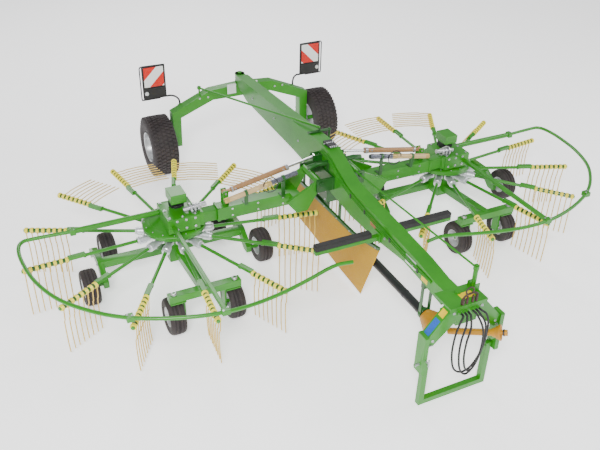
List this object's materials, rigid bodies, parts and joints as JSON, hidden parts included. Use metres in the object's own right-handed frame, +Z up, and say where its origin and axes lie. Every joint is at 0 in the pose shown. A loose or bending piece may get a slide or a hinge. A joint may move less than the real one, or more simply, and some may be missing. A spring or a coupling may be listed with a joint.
{
  "type": "rotary hay rake",
  "caption": "Green towed twin-rotor hay rake with centre delivery, parked in working position on its stand: tine rotors on folding arms, swath curtain, steered rear axle and warning boards.",
  "frame": {"origin": "middle of the outer box at ground level, as the rake stands parked in its working position", "axes": "+X to the right across the machine as seen from the tractor side, along its widest extent; +Y towards the transport axle at the rear; +Z up"},
  "size_m": [6.8518, 5.8972, 1.52],
  "materials": {
    "green_paint": "gloss",
    "dark_green_paint": "satin",
    "black_paint": "satin",
    "curtain_fabric": "matte",
    "yellow_plastic": "satin",
    "hose_rubber": "satin",
    "warning_board": "satin",
    "tyre_rubber": "matte",
    "silver_rim": "satin",
    "grey_guard": "satin",
    "tan_ram": "satin",
    "tine_wire": "satin",
    "chrome_rod": "polished"
  },
  "bodies": {
    "frame": {"boom": "green_paint", "central_gearbox": "dark_green_paint", "driveline": "black_paint", "curtain_rail": "dark_green_paint", "swath_curtain": "curtain_fabric", "left_hinge_bracket": "dark_green_paint", "left_transport_rest": "green_paint", "right_hinge_bracket": "dark_green_paint", "right_transport_rest": "green_paint"},
    "headstock": {"headstock": "green_paint", "pto_shaft": "yellow_plastic", "hose_1": "hose_rubber", "hose_2": "hose_rubber", "hose_3": "hose_rubber"},
    "parking_stand": {"parking_stand": "green_paint"},
    "steering_lever": {"steering_lever": "dark_green_paint"},
    "front_steering_rod": {"front_steering_rod": "green_paint"},
    "rear_steering_rod": {"rear_steering_rod": "green_paint"},
    "transport_axle": {"transport_axle": "green_paint", "left_warning_board": "warning_board", "right_warning_board": "warning_board"},
    "left_transport_wheel": {"left_transport_tyre": "tyre_rubber", "left_transport_rim": "silver_rim"},
    "right_transport_wheel": {"right_transport_tyre": "tyre_rubber", "right_transport_rim": "silver_rim"},
    "left_arm": {"left_arm": "green_paint", "left_drive_shaft": "grey_guard"},
    "left_ram_barrel": {"left_ram_barrel": "tan_ram"},
    "left_ram_rod": {"left_ram_rod": "chrome_rod"},
    "left_rotor_carrier": {"left_slide_tube": "green_paint", "left_rotor_head": "green_paint", "left_guard_hoop": "green_paint", "left_undercarriage": "green_paint"},
    "left_rotor": {"left_rotor": "green_paint"},
    "left_outer_side_wheel": {"left_outer_side_wheel": "tyre_rubber"},
    "left_outer_back_wheel": {"left_outer_back_wheel": "tyre_rubber"},
    "left_outer_castor": {"left_outer_castor_fork": "green_paint"},
    "left_outer_castor_wheel": {"left_outer_castor_wheel": "tyre_rubber"},
    "left_inner_side_wheel": {"left_inner_side_wheel": "tyre_rubber"},
    "left_inner_back_wheel": {"left_inner_back_wheel": "tyre_rubber"},
    "left_inner_castor": {"left_inner_castor_fork": "green_paint"},
    "left_inner_castor_wheel": {"left_inner_castor_wheel": "tyre_rubber"},
    "right_arm": {"right_arm": "green_paint", "right_drive_shaft": "grey_guard"},
    "right_ram_barrel": {"right_ram_barrel": "tan_ram"},
    "right_ram_rod": {"right_ram_rod": "chrome_rod"},
    "right_rotor_carrier": {"right_slide_tube": "green_paint", "right_rotor_head": "green_paint", "right_guard_hoop": "green_paint", "right_undercarriage": "green_paint"},
    "right_rotor": {"right_rotor": "green_paint"},
    "right_outer_side_wheel": {"right_outer_side_wheel": "tyre_rubber"},
    "right_outer_back_wheel": {"right_outer_back_wheel": "tyre_rubber"},
    "right_outer_castor": {"right_outer_castor_fork": "green_paint"},
    "right_outer_castor_wheel": {"right_outer_castor_wheel": "tyre_rubber"},
    "right_inner_side_wheel": {"right_inner_side_wheel": "tyre_rubber"},
    "right_inner_back_wheel": {"right_inner_back_wheel": "tyre_rubber"},
    "right_inner_castor": {"right_inner_castor_fork": "green_paint"},
    "right_inner_castor_wheel": {"right_inner_castor_wheel": "tyre_rubber"}
  },
  "joints": [
    {"name": "headstock_swivel", "type": "hinge", "parent": "frame", "child": "headstock", "pos_m": [0, -2.6228, 1], "axis": [0, 0, 1], "range_deg": [-45, 45]},
    {"name": "parking_stand_fold", "type": "hinge", "parent": "headstock", "child": "parking_stand", "pos_m": [0, -2.7428, 0.47], "axis": [1, 0, 0], "range_deg": [0, 75]},
    {"name": "steering_lever_turn", "type": "hinge", "parent": "frame", "child": "steering_lever", "pos_m": [-0.075, 0.1972, 1.425], "axis": [0, 0, 1], "range_deg": [-28, 28]},
    {"name": "front_rod_turn", "type": "hinge", "parent": "headstock", "child": "front_steering_rod", "pos_m": [0.165, -2.6228, 1.335], "axis": [0, 0, 1], "range_deg": [-46, 46]},
    {"name": "axle_steer", "type": "hinge", "parent": "frame", "child": "transport_axle", "pos_m": [0, 2.5272, 1.1], "axis": [0, 0, 1], "range_deg": [-6, 6]},
    {"name": "rear_rod_turn", "type": "hinge", "parent": "transport_axle", "child": "rear_steering_rod", "pos_m": [-0.6, 2.5272, 1.165], "axis": [0, 0, 1], "range_deg": [-12, 12]},
    {"name": "left_transport_wheel_roll", "type": "hinge", "parent": "transport_axle", "child": "left_transport_wheel", "pos_m": [-1.22, 2.5272, 0.42], "axis": [1, 0, 0], "continuous": true},
    {"name": "right_transport_wheel_roll", "type": "hinge", "parent": "transport_axle", "child": "right_transport_wheel", "pos_m": [1.22, 2.5272, 0.42], "axis": [1, 0, 0], "continuous": true},
    {"name": "left_arm_fold", "type": "hinge", "parent": "frame", "child": "left_arm", "pos_m": [-0.25, -0.2228, 1.13], "axis": [0, 1, 0], "range_deg": [0, 80]},
    {"name": "left_ram_tilt", "type": "hinge", "parent": "left_arm", "child": "left_ram_barrel", "pos_m": [-1.25, -0.1228, 1.095], "axis": [0, 1, 0], "range_deg": [-4, 2]},
    {"name": "left_ram_stroke", "type": "slide", "parent": "left_ram_barrel", "child": "left_ram_rod", "axis": [0.9848, 0.0271, 0.1717], "range_m": [-0.33, 0]},
    {"name": "left_arm_extend", "type": "slide", "parent": "left_arm", "child": "left_rotor_carrier", "axis": [-1, 0, 0], "range_m": [0, 0.4]},
    {"name": "left_rotor_spin", "type": "hinge", "parent": "left_rotor_carrier", "child": "left_rotor", "pos_m": [-1.774, 0.0772, 0.616], "axis": [0, 0, 1], "continuous": true},
    {"name": "left_outer_side_wheel_roll", "type": "hinge", "parent": "left_rotor_carrier", "child": "left_outer_side_wheel", "pos_m": [-2.774, 0.0072, 0.2025], "axis": [1, 0, 0], "continuous": true},
    {"name": "left_outer_back_wheel_roll", "type": "hinge", "parent": "left_rotor_carrier", "child": "left_outer_back_wheel", "pos_m": [-2.434, 0.6372, 0.2025], "axis": [1, 0, 0], "continuous": true},
    {"name": "left_outer_castor_swivel", "type": "hinge", "parent": "left_rotor_carrier", "child": "left_outer_castor", "pos_m": [-2.099, -0.8728, 0.46], "axis": [0, 0, 1], "range_deg": [-30, 30]},
    {"name": "left_outer_castor_wheel_roll", "type": "hinge", "parent": "left_outer_castor", "child": "left_outer_castor_wheel", "pos_m": [-2.099, -0.8178, 0.2025], "axis": [1, 0, 0], "continuous": true},
    {"name": "left_inner_side_wheel_roll", "type": "hinge", "parent": "left_rotor_carrier", "child": "left_inner_side_wheel", "pos_m": [-0.774, 0.0072, 0.2025], "axis": [1, 0, 0], "continuous": true},
    {"name": "left_inner_back_wheel_roll", "type": "hinge", "parent": "left_rotor_carrier", "child": "left_inner_back_wheel", "pos_m": [-1.114, 0.6372, 0.2025], "axis": [1, 0, 0], "continuous": true},
    {"name": "left_inner_castor_swivel", "type": "hinge", "parent": "left_rotor_carrier", "child": "left_inner_castor", "pos_m": [-1.449, -0.8728, 0.46], "axis": [0, 0, 1], "range_deg": [-30, 30]},
    {"name": "left_inner_castor_wheel_roll", "type": "hinge", "parent": "left_inner_castor", "child": "left_inner_castor_wheel", "pos_m": [-1.449, -0.8178, 0.2025], "axis": [1, 0, 0], "continuous": true},
    {"name": "right_arm_fold", "type": "hinge", "parent": "frame", "child": "right_arm", "pos_m": [0.25, -0.2228, 1.13], "axis": [0, -1, 0], "range_deg": [0, 80]},
    {"name": "right_ram_tilt", "type": "hinge", "parent": "right_arm", "child": "right_ram_barrel", "pos_m": [1.25, -0.1228, 1.095], "axis": [0, -1, 0], "range_deg": [-4, 2]},
    {"name": "right_ram_stroke", "type": "slide", "parent": "right_ram_barrel", "child": "right_ram_rod", "axis": [-0.9848, 0.0271, 0.1717], "range_m": [-0.33, 0]},
    {"name": "right_arm_extend", "type": "slide", "parent": "right_arm", "child": "right_rotor_carrier", "axis": [1, 0, 0], "range_m": [0, 0.4]},
    {"name": "right_rotor_spin", "type": "hinge", "parent": "right_rotor_carrier", "child": "right_rotor", "pos_m": [1.774, 0.0772, 0.616], "axis": [0, 0, 1], "continuous": true},
    {"name": "right_outer_side_wheel_roll", "type": "hinge", "parent": "right_rotor_carrier", "child": "right_outer_side_wheel", "pos_m": [2.774, 0.0072, 0.2025], "axis": [1, 0, 0], "continuous": true},
    {"name": "right_outer_back_wheel_roll", "type": "hinge", "parent": "right_rotor_carrier", "child": "right_outer_back_wheel", "pos_m": [2.434, 0.6372, 0.2025], "axis": [1, 0, 0], "continuous": true},
    {"name": "right_outer_castor_swivel", "type": "hinge", "parent": "right_rotor_carrier", "child": "right_outer_castor", "pos_m": [2.099, -0.8728, 0.46], "axis": [0, 0, 1], "range_deg": [-30, 30]},
    {"name": "right_outer_castor_wheel_roll", "type": "hinge", "parent": "right_outer_castor", "child": "right_outer_castor_wheel", "pos_m": [2.099, -0.8178, 0.2025], "axis": [1, 0, 0], "continuous": true},
    {"name": "right_inner_side_wheel_roll", "type": "hinge", "parent": "right_rotor_carrier", "child": "right_inner_side_wheel", "pos_m": [0.774, 0.0072, 0.2025], "axis": [1, 0, 0], "continuous": true},
    {"name": "right_inner_back_wheel_roll", "type": "hinge", "parent": "right_rotor_carrier", "child": "right_inner_back_wheel", "pos_m": [1.114, 0.6372, 0.2025], "axis": [1, 0, 0], "continuous": true},
    {"name": "right_inner_castor_swivel", "type": "hinge", "parent": "right_rotor_carrier", "child": "right_inner_castor", "pos_m": [1.449, -0.8728, 0.46], "axis": [0, 0, 1], "range_deg": [-30, 30]},
    {"name": "right_inner_castor_wheel_roll", "type": "hinge", "parent": "right_inner_castor", "child": "right_inner_castor_wheel", "pos_m": [1.449, -0.8178, 0.2025], "axis": [1, 0, 0], "continuous": true}
  ],
  "couplings": [
    {"joint": "steering_lever_turn", "follows": "headstock_swivel", "ratio": 0.61},
    {"joint": "front_rod_turn", "follows": "headstock_swivel", "ratio": -1},
    {"joint": "axle_steer", "follows": "headstock_swivel", "ratio": -0.125},
    {"joint": "rear_rod_turn", "follows": "headstock_swivel", "ratio": 0.1248},
    {"joint": "left_ram_tilt", "follows": "left_arm_fold", "ratio": -0.022},
    {"joint": "left_ram_stroke", "follows": "left_arm_fold", "m_per_rad": -0.162},
    {"joint": "right_ram_tilt", "follows": "right_arm_fold", "ratio": -0.022},
    {"joint": "right_ram_stroke", "follows": "right_arm_fold", "m_per_rad": -0.162}
  ]
}
